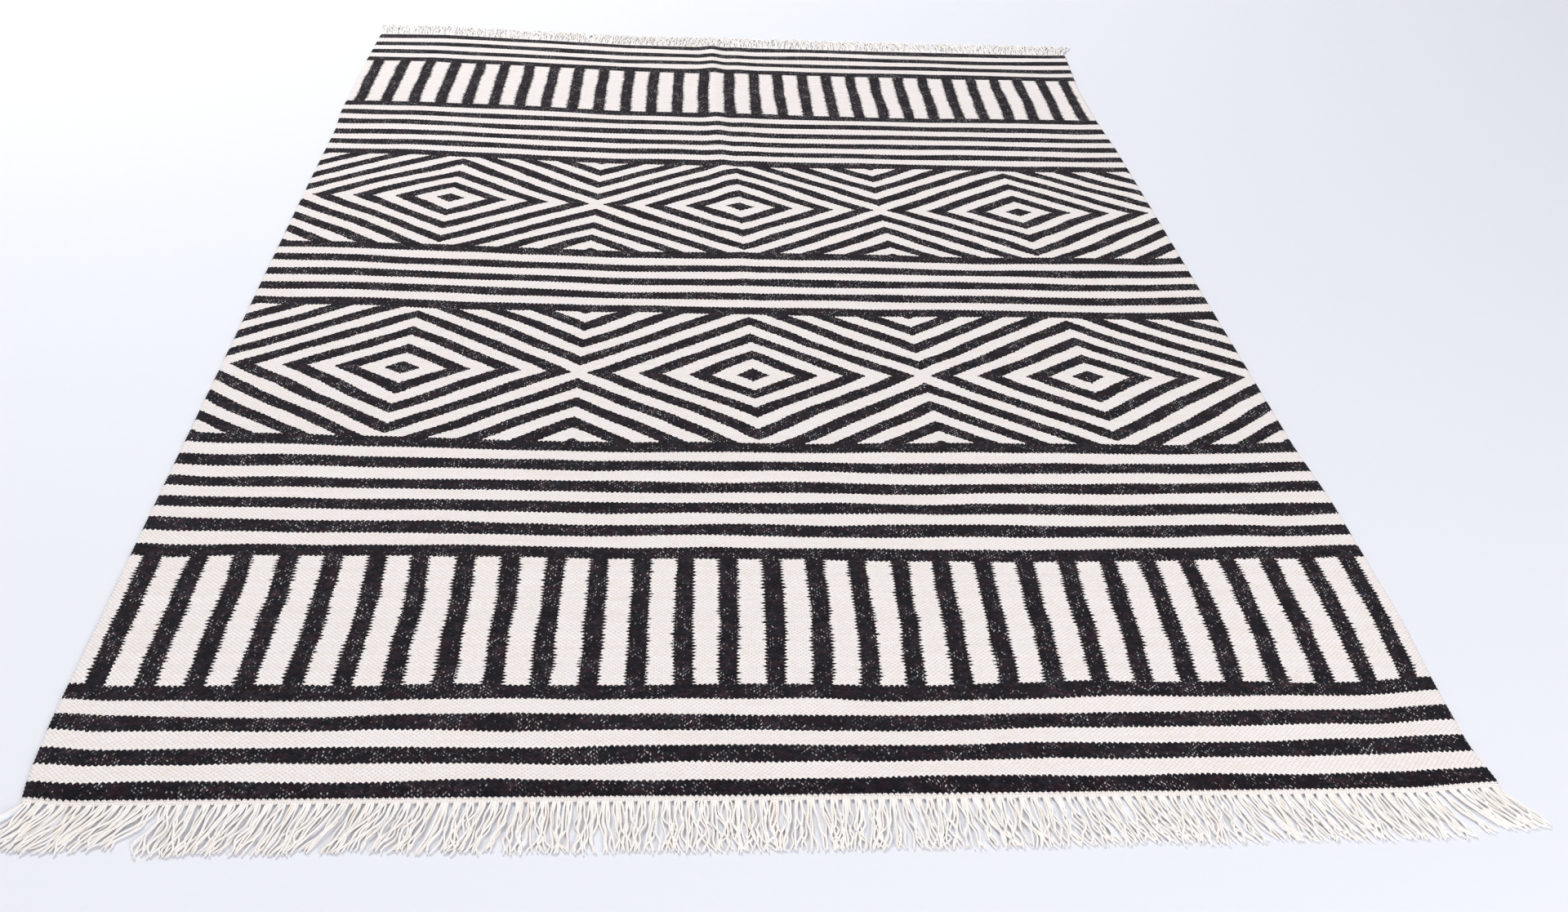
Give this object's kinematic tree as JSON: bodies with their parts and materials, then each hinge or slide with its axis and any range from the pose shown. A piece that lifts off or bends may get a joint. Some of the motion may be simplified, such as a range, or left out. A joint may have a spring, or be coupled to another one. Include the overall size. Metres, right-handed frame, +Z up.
{
  "type": "flat-woven kilim rug",
  "caption": "Rectangular flat-woven kilim lying flat, with a narrow twined heading and a loose warp fringe at each end.",
  "frame": {"origin": "on the floor, under the middle of the rug's whole outline with its fringe", "axes": "+Y along the rug from the near end to the far end, +X across it, +Z up"},
  "size_m": [1.7644, 2.5678, 0.009],
  "materials": {
    "woven_wool": "flat-woven wool in black and ivory, matt and ribbed",
    "fringe_cotton": "plied ivory cotton, matt"
  },
  "bodies": {
    "root": {"woven_field": "woven_wool", "near_end_fringe": "fringe_cotton", "far_end_fringe": "fringe_cotton"}
  },
  "joints": []
}
